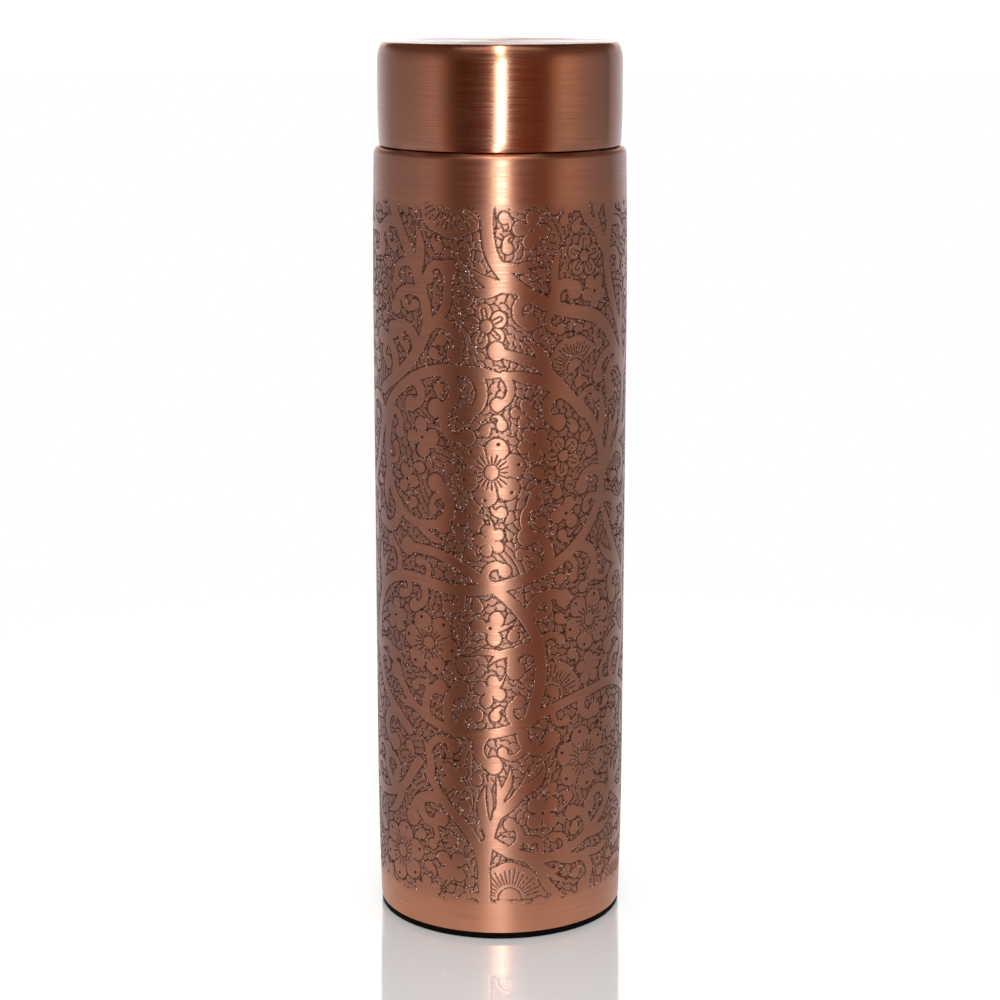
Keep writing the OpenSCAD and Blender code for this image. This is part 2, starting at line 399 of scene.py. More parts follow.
class Engraving:
    """Line art on one tile of the unrolled wall, in millimetres, top layer first.

    line is each grid point's distance to the nearest visible line. room is its signed
    distance to the shapes drawn so far, and those shapes hide whatever is drawn later.
    """

    def __init__(self):
        self.us = (np.arange(TILE_COLUMNS) / TILE_COLUMNS - 0.5) * TILE
        self.vs = np.arange(ENGRAVED_FROM, ENGRAVED_TO, ROW_STEP)
        self.u, self.v = np.meshgrid(self.us, self.vs)
        self.line = np.full(self.u.shape, REACH)
        self.room = np.full(self.u.shape, REACH)

    def around(self, u, v):
        """Offsets of every grid point from (u, v), the short way round the bottle."""
        return (self.u - u + TILE / 2) % TILE - TILE / 2, self.v - v

    def distance(self, strokes):
        """Signed distance to strokes, each (start, end, start radius, end radius)."""
        field = np.full(self.u.shape, REACH)
        for (au, av), (bu, bv), ra, rb in strokes:
            margin = max(ra, rb) + REACH
            first = math.floor((min(au, bu) - margin - self.us[0]) / TILE * TILE_COLUMNS)
            last = math.ceil((max(au, bu) + margin - self.us[0]) / TILE * TILE_COLUMNS)
            columns = np.arange(first, last + 1)
            low = max(0, math.floor((min(av, bv) - margin - ENGRAVED_FROM) / ROW_STEP))
            high = max(0, math.ceil((max(av, bv) + margin - ENGRAVED_FROM) / ROW_STEP))
            rows = slice(low, high + 1)
            u = (self.us[0] + columns * TILE / TILE_COLUMNS - au)[None, :]
            v = (self.vs[rows] - av)[:, None]
            du, dv = bu - au, bv - av
            t = np.clip((u * du + v * dv) / max(du * du + dv * dv, 1e-9), 0, 1)
            away = np.hypot(u - t * du, v - t * dv) - (ra + t * (rb - ra))
            place = np.ix_(np.arange(*rows.indices(len(self.vs))), columns % TILE_COLUMNS)
            field[place] = np.minimum(field[place], away)
        return field

    def draw(self, distance):
        """Draws lines where distance is 0, except under the shapes already there."""
        np.minimum(self.line, np.where(self.room > 0, distance, REACH), out=self.line)

    def cover(self, shape):
        """Outlines a shape, given by its signed distance, and lets it hide what follows."""
        self.draw(np.abs(shape))
        np.minimum(self.room, shape, out=self.room)

    def room_at(self, field, u, v):
        """The value of a field at the grid point nearest to (u, v)."""
        row = int(round((v - ENGRAVED_FROM) / ROW_STEP))
        column = int(round((u - self.us[0]) / TILE * TILE_COLUMNS)) % TILE_COLUMNS
        if not 0 <= row < len(self.vs):
            return REACH
        return field[row, column]


def curve(points):
    """A smooth line through the points, as an array of (u, v)."""
    p = np.array(points, float)
    p = np.vstack([2 * p[0] - p[1], p, 2 * p[-1] - p[-2]])
    path = []
    for a, b, c, d in zip(p, p[1:], p[2:], p[3:]):
        count = max(2, int(np.linalg.norm(c - b) / PATH_STEP))
        for t in np.arange(count) / count:
            path.append(
                0.5 * (2 * b + (c - a) * t + (2 * a - 5 * b + 4 * c - d) * t**2
                       + (3 * b - 3 * c + d - a) * t**3)
            )
    path.append(p[-2])
    return np.array(path)


def towards(angle):
    """A step of one millimetre at an angle in radians."""
    return np.array([math.cos(angle), math.sin(angle)])


def spot(u, v, radius):
    """A round stroke."""
    return (u, v), (u, v), radius, radius


def tapered(path, start, end, sharp_tip=0.0):
    """Strokes along a path whose half-width runs from start to end, then to a point."""
    lengths = np.concatenate([[0], np.cumsum(np.linalg.norm(np.diff(path, axis=0), axis=1))])
    share = lengths / lengths[-1]
    radii = start + (end - start) * share
    if sharp_tip:
        radii = radii * np.clip((lengths[-1] - lengths) / sharp_tip, 0.02, 1) ** 0.7
    return [(path[i], path[i + 1], radii[i], radii[i + 1]) for i in range(len(path) - 1)]


def tendril(start, heading, curl, length):
    """A path that leaves start at a heading in degrees and bends ever more tightly."""
    path = [np.array(start, float)]
    steps = int(length / PATH_STEP)
    for k in range(steps):
        turn = curl * ((k + 0.5) / steps) ** 1.3
        angle = math.radians(heading + turn)
        path.append(path[-1] + PATH_STEP * towards(angle))
    return np.array(path)


# Main stems: points, half-width at the root and at the tip, and how the tip ends. Each of
# the flowers below is a place and a size; a fan also has the angle that it faces.
STEMS = (
    (((-5, 4), (-5, 22), (-9, 33), (-17, 42), (-25, 54)), 2.1, 1.5, "point"),
    (((-5, 18), (-4, 30), (4, 27), (15, 25), (27, 29), (38, 38), (44, 52)), 2.0, 1.4, "point"),
    (((-5, 22), (-3, 33), (0, 42), (-1, 52)), 1.9, 1.2, "point"),
    (((62, 62), (44, 74), (28, 74), (13, 70), (2, 65), (-12, 64), (-26, 69), (-36, 79)),
     1.7, 1.6, "ball"),
    (((9, 68), (12, 80), (11, 92), (5, 102), (-5, 110), (-18, 117), (-30, 118)),
     2.1, 1.6, "ball"),
    (((-30, 62), (-44, 74), (-48, 90), (-42, 104), (-30, 109), (-12, 107), (6, 110),
      (22, 118), (32, 130), (34, 144), (28, 157), (14, 167), (0, 171)), 1.9, 1.8, "point"),
    (((-60, 124), (-48, 140), (-42, 154), (-32, 165), (-18, 171), (2, 170)), 1.7, 1.8, "point"),
    (((-37, 160), (-40, 147), (-37, 134), (-28, 126), (-17, 126)), 2.1, 1.5, "ball"),
    (((26, 158), (12, 172), (-1, 177)), 1.9, 1.5, "ball"),
    (((-42, 163), (-29, 172), (-22, 184), (-26, 199), (-33, 211), (-42, 226)), 1.9, 2.0, "point"),
    (((-23, 181), (-16, 189), (-15, 200)), 1.8, 1.5, "ball"),
    (((47, 168), (33, 184), (16, 189), (4, 196), (-3, 206), (-4, 226)), 2.2, 2.0, "point"),
    (((-1, 201), (6, 200), (12, 197)), 1.8, 0.9, "point"),
    (((35, 140), (45, 150), (48, 164), (45, 178), (38, 192), (36, 206), (42, 224)),
     1.8, 1.9, "point"),
    (((44, 74), (51, 88), (49, 104), (41, 116), (33, 132)), 1.9, 1.6, "point"),
    (((51, 90), (57, 104), (58, 116)), 1.8, 1.4, "ball"),
    (((-26, 53), (-34, 43), (-46, 40), (-54, 49)), 1.8, 1.4, "ball"),
    (((41, 42), (51, 34), (59, 20), (61, 4)), 1.9, 2.0, "point"),
)

DAISIES = ((-2.5, 142, 10.5), (-22, 90, 10), (27, 54, 10.5), (-34, 23, 10), (55, 197, 10),
           (29, 96, 9.5), (-53, 172, 9.5))
BLOSSOMS = ((-4, 184, 7), (19, 146, 6.5), (57, 143, 6.5), (-44, 192, 6.5), (26, 203, 6.5),
            (57, 84, 6), (-52, 20, 6))
FANS = ((-14, 220, 270, 12), (23, 171, 125, 10), (15, 75, 60, 11), (3, 12.7, 90, 12),
        (-55, 60, 100, 10), (-58, 104, 60, 11), (46, 8, 100, 11))
CLOVERS = ((9, 211, 6), (-24, 151, 6.5), (-3, 122, 5.5), (-3, 96, 6), (-3, 77, 5.5),
           (13, 39, 6.5), (-15, 22, 6), (-36, 96, 6), (20, 129, 5.5), (40, 62, 5.5),
           (7, 159, 4.5), (-30, 138, 5), (-14, 50, 5.5))


def rays(art, u, v, inner, outer, start, stop, count, rng):
    """Straight strokes that radiate from a point, as stamens do."""
    strokes = []
    for angle in np.radians(np.linspace(start, stop, count)):
        way = towards(angle)
        far = outer * rng.uniform(0.85, 1.05)
        strokes.append((way * inner + (u, v), way * far + (u, v), 0.0, 0.0))
    art.draw(art.distance(strokes))


def dot(art, u, v):
    """A punched dot."""
    art.draw(np.maximum(art.distance([spot(u, v, DOT)]), 0))


def ring_of_lobes(u, v, count, reach, radius, turn):
    """Round lobes spaced evenly about a centre."""
    return [spot(*(reach * towards(a) + (u, v)), radius) for a in circle(count) + turn]


def daisy(art, u, v, size, rng):
    """A large open flower: a disc, a ring of stamens and broad petals with dots."""
    petals = 6
    turn = rng.uniform(0, TAU)
    lobes = ring_of_lobes(u, v, petals, size * 0.62, size * 0.36, turn)
    shape = art.distance(lobes + [spot(u, v, size * 0.6)])
    art.draw(np.abs(art.distance([spot(u, v, size * 0.22)])))
    for petal in turn + circle(petals):
        way = size * towards(petal + math.pi / petals)
        art.draw(art.distance([(way * 0.5 + (u, v), way * 0.84 + (u, v), 0.0, 0.0)]))
        dot(art, *(size * 0.8 * towards(petal) + (u, v)))
    rays(art, u, v, size * 0.27, size * 0.52, 0, 342, 20, rng)
    art.cover(shape)


def blossom(art, u, v, size, rng):
    """A small flower with round petals, each holding a U-shaped mark."""
    turn = rng.uniform(0, TAU)
    reach = size * 0.6
    art.cover(art.distance([spot(u, v, size * 0.28)]))
    for petal in ring_of_lobes(u, v, 5, reach, size * 0.36, turn):
        middle = np.array(petal[0])
        way = (middle - (u, v)) / reach
        mark = [(middle - way * size * 0.3, middle + way * size * 0.06, 0.0, 0.0)]
        art.draw(np.abs(art.distance(mark) - size * 0.09))
        art.cover(art.distance([petal]))


def clover(art, u, v, size, rng):
    """A leaf of three to five round lobes."""
    lobes = int(rng.integers(3, 6))
    turn = rng.uniform(0, TAU)
    shape = ring_of_lobes(u, v, lobes, size * 0.56, size * (0.5 - 0.03 * lobes), turn)
    stalk = math.degrees(turn + math.pi / lobes)
    tail = tendril((u, v), stalk, rng.choice((-60, 60)), size * 1.5)
    shape += [spot(u, v, size * 0.36)] + tapered(tail, size * 0.26, 0.1)
    if rng.uniform() < 0.6:
        dot(art, u, v)
    art.cover(art.distance(shape))


def bud(art, u, v, size, rng):
    """A curled bud: a ball with a bent tail."""
    bend = rng.choice((-170, 170))
    path = tendril((u, v), rng.uniform(0, 360), bend, size * 3.2)
    art.cover(art.distance(tapered(path, size * 0.8, 0.1) + [spot(u, v, size)]))


def fan(art, u, v, heading, size, rng):
    """Half an open flower: a low arch with rays that spread from it."""
    du, dv = art.around(u, v)
    away = np.hypot(du, dv)
    angle = math.radians(heading)
    behind = -(du * math.cos(angle) + dv * math.sin(angle)) - 0.3
    across = np.arctan2(dv, du) - angle
    scallop = size * (0.93 + 0.05 * np.abs(np.cos(across * 4)))
    shape = np.maximum(away - scallop, behind)
    art.draw(np.where(shape < 0, np.abs(away - size * 0.3), REACH))
    rays(art, u, v, size * 0.4, size * 0.8, heading - 78, heading + 78, 17, rng)
    art.cover(shape)


def grow_shoots(art, stems, taken, size, rng):
    """Side shoots along the stems: leaves that end in a curled ball or in a point.

    Returns their strokes, and their paths with the side where their own shoots start.
    """
    strokes, grown = [], []
    for path, side in stems:
        position, walked = rng.uniform(3, 8), 0.0
        for here, ahead in zip(path, path[1:]):
            walked += np.linalg.norm(ahead - here)
            if walked < position:
                continue
            heading = math.degrees(math.atan2(*(ahead - here)[::-1]))
            curled = rng.uniform() < 0.55
            bend = rng.uniform(100, 190) if curled else rng.uniform(-75, -45)
            shoot = tendril(here, heading + side * 42, side * bend, size * rng.uniform(4.6, 6.2))
            gap = min(art.room_at(taken, *p) for p in shoot[int(size * 3.4):])
            if gap > size * 0.75:
                new = tapered(shoot, size * 0.66, size * 0.6, 0 if curled else size * 2.6)
                if curled:
                    new.append(spot(*shoot[-1], size))
                strokes += new
                grown.append((shoot, -side))
                np.minimum(taken, art.distance(new), out=taken)
                walked, position = 0.0, rng.uniform(6, 10)
            else:
                position = walked + 1.2
            side = -side
    return strokes, grown


def scatter(art, draw, room, size, rng):
    """Draws a motif at random wherever there is still that much room."""
    for _ in range(MOST_SCATTERED):
        rows, columns = np.nonzero(art.room[EDGE_ROWS:-EDGE_ROWS] > room)
        if not len(rows):
            return
        k = rng.integers(len(rows))
        draw(art, art.us[columns[k]], art.vs[rows[k] + EDGE_ROWS], size, rng)


def fish_scales(u, v, size):
    """Distance to the lines of overlapping scales whose rounded ends point down."""
    radius, row_height = size * 0.58, size * 0.72
    away = np.full(u.shape, REACH)
    uncovered = np.ones(u.shape, bool)
    for shift in (1, 0, -1):
        row = np.floor(v / row_height) + shift
        offset = 0.5 * (row % 2)
        centre = size * (np.round(u / size - offset) + offset)
        depth = radius - np.hypot(u - centre, v - row * row_height)
        away = np.where(uncovered, np.minimum(away, np.abs(depth)), away)
        uncovered &= depth < 0
    return away


def nearest_seeds(u, v, spacing, rng):
    """Seeds are the points of a shaken lattice. Returns the nearest one's number and place,
    and the distances to the nearest and the next."""
    across = round(TILE / spacing)
    up = int((ENGRAVED_TO - ENGRAVED_FROM) / spacing) + 3
    width = TILE / across
    shake = rng.uniform(-0.36, 0.36, (up, across, 2))
    column = np.floor((u + TILE / 2) / width).astype(int)
    row = np.floor((v - ENGRAVED_FROM) / spacing).astype(int) + 1
    near, next_ = np.full(u.shape, 1e3), np.full(u.shape, 1e3)
    number = np.zeros(u.shape, int)
    place = np.zeros((*u.shape, 2))
    for i in (-1, 0, 1):
        for j in (-1, 0, 1):
            c, r = column + i, np.clip(row + j, 0, up - 1)
            move = shake[r, c % across]
            su = (c + 0.5 + move[..., 0]) * width - TILE / 2
            sv = (r - 0.5 + move[..., 1]) * spacing + ENGRAVED_FROM
            away = np.hypot(u - su, v - sv)
            closer = away < near
            next_ = np.where(closer, near, np.minimum(next_, away))
            near = np.where(closer, away, near)
            number = np.where(closer, r * across + c % across, number)
            place[closer] = np.stack([su, sv], -1)[closer]
    return number, place, near, next_


def background(art, rng):
    """Fills what is left with patches of fish scales, rungs and small cells."""
    u, v = art.u, art.v
    patch, place, _, _ = nearest_seeds(u, v, PATCH, rng)
    count = patch.max() + 1
    angle = rng.uniform(0, TAU, count)[patch]
    size = rng.uniform(2.5, 3.3, count)[patch]
    kind = rng.choice(3, count, p=GROUND_SHARES)[patch]
    du, dv = u - place[..., 0], v - place[..., 1]
    along = du * np.cos(angle) + dv * np.sin(angle)
    across = dv * np.cos(angle) - du * np.sin(angle)
    scales = fish_scales(along, across + 40, size)
    bent, step = along + 0.12 * across**2 / size, size * 0.62
    rungs = np.abs((bent / step + 0.5) % 1 - 0.5) * step
    _, _, near, next_ = nearest_seeds(u, v, CELL, rng)
    art.draw(np.choose(kind, (scales, rungs, (next_ - near) / 2)))


def engrave_tile():
    """The whole tile: stems, their shoots, flowers, loose leaves and the ground."""
    rng = np.random.default_rng(SEED)
    art = Engraving()
    strokes, paths = [], []
    for k, (points, root, tip, end) in enumerate(STEMS):
        path = curve(points)
        strokes += tapered(path, root, tip, 7.0 if end == "point" else 0.0)
        if end == "ball":
            strokes.append(spot(*path[-1], tip * 1.9))
        paths.append((path, 1 if k % 2 else -1))
    flowers = [spot(u, v, size * 0.98) for u, v, size in DAISIES + BLOSSOMS + CLOVERS]
    for u, v, heading, size in FANS:
        middle = (u, v) + 0.45 * size * towards(math.radians(heading))
        flowers.append(spot(*middle, size * 0.7))
    taken = art.distance(strokes)
    taken = np.minimum(taken, art.distance(flowers))
    for size in SHOOT_SIZES:
        new, grown = grow_shoots(art, paths, taken, size, rng)
        strokes += new
        paths += grown
    art.cover(art.distance(strokes))
    for draw, places in ((daisy, DAISIES), (blossom, BLOSSOMS), (fan, FANS), (clover, CLOVERS)):
        for place in places:
            draw(art, *place, rng)
    scatter(art, clover, *LOOSE_CLOVER, rng)
    scatter(art, bud, *LOOSE_BUD, rng)
    background(art, rng)
    return art


# ---- engraved wall

GROOVE_REACH = 0.32  # from the middle of a line to its edge
GROOVE_DEPTH = 0.07
MOTIF_ZONE = 0.55  # how far the flowers and stems take the ground's satin and its darker tint, the tint partly painted shade
ZONE_EDGE, ZONE_FADE = 0.3, 3  # widths over which it changes there, and at both ends
ENDS_FADE = 0.8  # width over which the lines start at both ends
ROUNDING = 1e-6

# The unwrap of a sector: the outside as strips side by side, then the inside and both ends.
STRIPS = 3
STRIP_SHARE, STRIP_GAP = 0.3, 0.01
MARGIN = 0.004
INSIDE_WIDTH = 0.04
END_LEFTS, END_WIDTH, END_HEIGHT = (0.955, 0.98), 0.015, 0.99


def smooth_step(share):
    """Eases a share in and out, held between 0 and 1."""
    share = np.clip(share, 0, 1)
    return share**2 * (3 - 2 * share)


def wall_section():
    """The wall's closed section from its bottom edge up the outside and down the inside.

    Returns the points, and the first and last row of each smooth stretch.
    """
    plain_rows, roll_steps, inner_roll_steps, inner_rows = 7, 10, 5, 24
    z = np.concatenate([
        np.linspace(WALL_Z0, ENGRAVED_FROM, plain_rows)[:-1],
        np.arange(ENGRAVED_FROM, ENGRAVED_TO, ROW_STEP),
        np.linspace(ENGRAVED_TO, WALL_Z1 - SHOULDER_ROLL, plain_rows)[:-1],
    ])
    outside = [(wall_radius(h), h) for h in z]
    top_r = wall_radius(WALL_Z1)
    lip_r = top_r - LIP_WIDTH
    bend = (top_r - SHOULDER_ROLL, WALL_Z1 - SHOULDER_ROLL)
    outside += arc(*bend, SHOULDER_ROLL, 0, 90, roll_steps)
    outside += [(lip_r + 1, WALL_Z1), (lip_r, WALL_Z1)]
    within = [(lip_r, WALL_Z1 - SHEET)]
    within += arc(*bend, SHOULDER_ROLL - SHEET, 90, 0, inner_roll_steps)
    within += [(wall_radius(h) - SHEET, h) for h in np.linspace(WALL_Z1 - 10, WALL_Z0, inner_rows)]
    last = len(outside) - 1
    total = last + 1 + len(within)
    stretches = ((0, last), (last, last + 1), (last + 1, total - 1), (total - 1, total))
    return np.array(outside + within), stretches


def smooth_normals(points, stretches):
    """Normals at the corners of every quad: smooth along each stretch, crisp between them."""
    rows, columns = points.shape[:2]
    corners = np.zeros((rows, columns, 4, 3))
    for first, last in stretches:
        part = points[np.arange(first, last + 1) % rows]
        around = np.roll(part, -1, axis=1) - np.roll(part, 1, axis=1)
        normal = np.cross(around, np.gradient(part, axis=0))
        normal /= np.linalg.norm(normal, axis=2, keepdims=True)
        beside = np.roll(normal, -1, axis=1)
        corners[first:last] = np.stack([normal[:-1], beside[:-1], beside[1:], normal[1:]], axis=2)
    return corners


def sector_unwrap(section, outer_rows):
    """Texture places for one sector's quads: the outside in strips, the inside beside them."""
    rows = len(section)
    step = np.linalg.norm(np.roll(section, -1, axis=0) - section, axis=1)
    along = np.concatenate([[0], np.cumsum(step)])
    outside = along[outer_rows]
    places = np.zeros((rows, SECTOR_COLUMNS, 4, 2))
    across = np.arange(SECTOR_COLUMNS + 1) / SECTOR_COLUMNS
    for row in range(rows):
        low, high = along[row], along[row + 1]
        if row < outer_rows:
            strip = min(STRIPS - 1, int((low + high) / 2 / outside * STRIPS))
            low, high = (h * STRIPS / outside - strip for h in (low, high))
            left, width = strip * STRIP_SHARE, STRIP_SHARE - STRIP_GAP
        else:
            low, high = ((h - outside) / (along[-1] - outside) for h in (low, high))
            left, width = STRIPS * STRIP_SHARE, INSIDE_WIDTH
        u = left + MARGIN + across * width
        v = MARGIN + (1 - 2 * MARGIN) * np.array([low, low, high, high])
        places[row, :, :, 0] = np.stack([u[:-1], u[1:], u[1:], u[:-1]], axis=1)
        places[row, :, :, 1] = v
    return places.reshape(-1, 2)


def ragged_ends(engraving):
    """1 where the lines are engraved, fading to 0 at an uneven edge at the top and bottom."""
    turn = engraving.us / TILE * TAU
    low = 0.9 + 0.5 * np.sin(9 * turn + 1) + 0.4 * np.sin(23 * turn)
    high = 1.5 + 0.8 * np.sin(7 * turn) + 0.6 * np.sin(19 * turn + 2)
    above = engraving.v - ENGRAVED_FROM - low
    below = ENGRAVED_TO - high - engraving.v
    return np.clip(np.minimum(above, below) / ENDS_FADE, 0, 1)


def build_wall():
    """The engraved wall, as closed sectors that meet edge to edge."""
    section, stretches = wall_section()
    rows, columns = len(section), SECTORS * SECTOR_COLUMNS
    engraving = engrave_tile()
    engraved = smooth_step(1 - engraving.line / GROOVE_REACH) * ragged_ends(engraving)
    ground = np.clip(engraving.room / ZONE_EDGE + 0.5, 0, 1)
    into = np.arange(len(ground)) * ROW_STEP
    ground = MOTIF_ZONE + (1 - MOTIF_ZONE) * ground
    ground *= np.clip(np.minimum(into, into[::-1]) / ZONE_FADE, 0, 1)[:, None]
    groove, zone = np.zeros((rows, columns)), np.zeros((rows, columns))
    first = int(np.argmax(section[:, 1] >= ENGRAVED_FROM - ROUNDING))
    groove[first:first + len(engraved)] = np.tile(engraved, (1, REPEATS))
    zone[first:first + len(ground)] = np.tile(ground, (1, REPEATS))
    angle = (np.arange(columns) / columns * 2 - 0.5) * math.pi
    r = section[:, 0][:, None] - GROOVE_DEPTH * groove
    z = np.broadcast_to(section[:, 1][:, None], r.shape)
    points = np.stack([r * np.sin(angle), -r * np.cos(angle), z], axis=-1)
    normals = smooth_normals(points, stretches)
    places = sector_unwrap(section, stretches[0][1])
    shift = SECTOR_COLUMNS // 2
    for k in range(SECTORS):
        pick = (np.arange(SECTOR_COLUMNS + 1) + k * SECTOR_COLUMNS + shift) % columns
        build_sector(f"wall_sector_{k + 1:02d}", points[:, pick], normals[:, pick[:-1]],
                     places, groove[:, pick], zone[:, pick])


def build_sector(name, points, normals, places, groove, zone):
    """One closed sector, with its unwrap and with groove and zone for its material."""
    rows, width = points.shape[:2]
    quads = quad_grid(rows, width, around=False)
    start_side = np.arange(rows) * width
    end_side = start_side[::-1] + width - 1
    piece = mesh_object(name, points.reshape(-1, 3), quads, (start_side, end_side))
    mesh = piece.data
    for label, values in (("groove", groove), ("zone", zone)):
        layer = mesh.attributes.new(label, "FLOAT", "POINT")
        layer.data.foreach_set("value", values.ravel().astype(np.float32))
    radius = np.hypot(points[:, 0, 0], points[:, 0, 1])
    thick = (radius - radius.min()) / np.ptp(radius)
    tall = points[:, 0, 2] / points[:, 0, 2].max()
    sides = [np.stack([left + END_WIDTH * thick, tall * END_HEIGHT], axis=1)[::way]
             for left, way in zip(END_LEFTS, (1, -1))]
    layer = mesh.uv_layers.new(name="OFBake")
    layer.uv.foreach_set("vector", np.concatenate([places, *sides]).astype(np.float32).ravel())
    side_normals = []
    for column, way in ((0, -1), (-1, 1)):
        x, y = points[0, column, :2] / np.hypot(*points[0, column, :2])
        side_normals.append(np.tile((-y * way, x * way, 0.0), (rows, 1)))
    mesh.normals_split_custom_set(np.concatenate([normals.reshape(-1, 3), *side_normals]))
    dress(piece, ENGRAVED_COPPER)
    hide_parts("body_wall")
    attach(piece, "bottle")


build_wall()

# ---- cap


def cap_cup():
    """The drawn outer cup of the cap: rounded top edge and a slightly tucked-in hem."""
    r, z0, z1 = CAP_HIGH.x / MM, CAP_LOW.z / MM, CAP_HIGH.z / MM
    edge_w, edge_h, draw_in = 1.9, 5.5, 0.35
    hem, hem_h, soft = 0.15, 0.8, 0.1
    flat = r - edge_w
    belly = (z0 + z1) / 2

    def side(z):
        """The cap's side draws in very slightly towards its bottom edge."""
        return r - draw_in * max(0, (belly - z) / (belly - z0)) ** 2

    outer = arc(side(z0) - hem - soft, z0 + soft, soft, -90, 0)
    outer += [(side(z), z) for z in np.linspace(z0 + hem_h, z1 - edge_h - 1, 12)]
    outer += arc(flat, z1 - edge_h, edge_w, 0, 90, 24, edge_h)
    outer += [(x, z1) for x in np.linspace(flat - 1, 0, 12)]
    inner = [(x, z1 - SHEET) for x in np.linspace(0, flat - 1, 6)]
    inner += arc(flat, z1 - edge_h, edge_w - SHEET, 90, 0, 8, edge_h - SHEET)
    inner += [(side(z) - SHEET, z) for z in np.linspace(z1 - edge_h - 1, z0 + hem_h, 6)]
    inner += [(side(z0) - hem - SHEET, z0)]
    return turned("cap_cup", outer + inner)


cup = dress(cap_cup(), BRUSHED_COPPER)
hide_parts("cap_shell")
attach(cup, "cap")

# ---- threads, seal and foot

THREAD_LEAD, THREAD_DEPTH = 4.0, 0.9
RIDGE_BASE, RIDGE_CREST, RUN_OUT = 2.2, 1.0, 25
NECK_RIDGE = (236.0, 1.75)  # height where it starts, and turns
CAP_RIDGE = (236.35, 1.5)
THREAD_ROW = 0.14
THREAD_COLUMNS = 288
THREAD_SMOOTH_UP_TO = 50


def ridge_height(run, z, start, turns):
    """Height of a helical ridge at angles run (0 to 360) past its start and at heights z."""
    height = 0.0
    for turn in range(math.ceil(turns)):
        angle = run + 360 * turn
        ends = np.clip(np.minimum(angle, 360 * turns - angle) / RUN_OUT, 0, 1)
        off = np.abs(z - start - THREAD_LEAD * angle / 360)
        flank = smooth_step((RIDGE_BASE / 2 - off) / ((RIDGE_BASE - RIDGE_CREST) / 2))
        height = np.maximum(height, THREAD_DEPTH * ends * flank)
    return height


def threaded(name, section, wall_r, way, ridge, start_angle):
    """A turned ring with a helical ridge on its wall_r face, outwards (way 1) or inwards."""
    angles = circle(THREAD_COLUMNS)
    run = np.degrees(angles - math.radians(start_angle)) % 360
    r, z = np.array(section).T[:, :, None]
    on_wall = np.abs(r - wall_r) < ROUNDING
    r = r + way * on_wall * ridge_height(run, z, *ridge)
    return ring(name, r, z, angles, THREAD_SMOOTH_UP_TO)


def neck():
    """Neck with its outside thread, a flange under the shoulder plate and a rounded rim."""
    z0, z1, flange_r = NECK_LOW.z / MM, NECK_HIGH.z / MM, NECK_HIGH.x / MM
    rim, flange_t, soft = (NECK_R - BORE_R) / 2, 0.9, 0.2
    section = [(BORE_R, z0 + soft), (BORE_R + soft, z0)]
    section += arc(flange_r - soft, z0 + soft, soft, -90, 0)
    section += arc(flange_r - soft, z0 + flange_t - soft, soft, 0, 90)
    section += [(NECK_R + soft, z0 + flange_t)]
    section += [(NECK_R, z) for z in np.arange(z0 + flange_t + soft, z1 - rim, THREAD_ROW)]
    section += arc(BORE_R + rim, z1 - rim, rim, 0, 180, 12)
    section += [(BORE_R, z) for z in np.linspace(z1 - rim - 1, z0 + 1, 6)]
    return threaded("threaded_neck", section, NECK_R, 1, NECK_RIDGE, 0)


def cap_sleeve():
    """Sleeve inside the cap, with the ridge that runs under the neck's."""
    z0, z1, outer_r = SLEEVE_LOW.z / MM, SLEEVE_HIGH.z / MM, SLEEVE_HIGH.x / MM
    soft = 0.15
    section = [(SLEEVE_BORE_R, z0 + soft), (SLEEVE_BORE_R + soft, z0)]
    section += arc(outer_r - soft, z0 + soft, soft, -90, 0)
    section += arc(outer_r - soft, z1 - soft, soft, 0, 90)
    section += [(SLEEVE_BORE_R + soft, z1)]
    section += [(SLEEVE_BORE_R, z) for z in np.arange(z1 - soft, z0 + soft * 2, -THREAD_ROW)]
    return threaded("threaded_sleeve", section, SLEEVE_BORE_R, -1, CAP_RIDGE, -180)


def seal_ring():
    """Soft flat ring with rounded edges, which the cap presses on the neck's rim."""
    r0, r1 = SEAL_HOLE_R, SEAL_HIGH.x / MM
    z0, z1 = SEAL_LOW.z / MM, SEAL_HIGH.z / MM
    section = rounded([(r0, z0), (r1, z0), (r1, z1), (r0, z1)], radius=0.35, steps=5)
    return turned("seal_ring", section, segments=160)


def foot_band():
    """Near-black ring with a rounded outer edge, just under the wall's lower edge; its lip plugs
    into the skirt of the base pan.
    """
    outer_r, top, edge, soft = FOOT_HIGH.x / MM, FOOT_HIGH.z / MM, 0.45, 0.15
    ring_h = WALL_Z0 - 0.05  # stops just short of the wall's lower edge
    lip_top, lip_root = 1.4, 1.8
    section = arc(outer_r - FOOT_WIDTH + soft, soft, soft, -180, -90)
    section += arc(outer_r - edge, edge, edge, -90, 0, 6)
    section += arc(outer_r - soft, ring_h - soft, soft, 0, 90)
    section += [(PAN_SKIRT_R, ring_h)]
    section += arc(PAN_SKIRT_R - soft, top - soft, soft, 0, 90)
    section += arc(PAN_SKIRT_R - lip_top + soft, top - soft, soft, 90, 180)
    section += [(PAN_SKIRT_R - lip_root, ring_h)]
    section += arc(outer_r - FOOT_WIDTH + soft, ring_h - soft, soft, 90, 180)
    return turned("foot_band", section)


for piece, node, body, slot, material in (
    (neck(), "neck_collar", "bottle", "turned_copper", TURNED_COPPER),
    (cap_sleeve(), "cap_thread_ring", "cap", "turned_copper", TURNED_COPPER),
    (seal_ring(), "cap_seal", "seal", "silicone", SILICONE),
    (foot_band(), "foot_ring", "bottle", "black_rubber", NEAR_BLACK_FOOT),
):
    dress(piece, material)
    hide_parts(node)
    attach(piece, body)

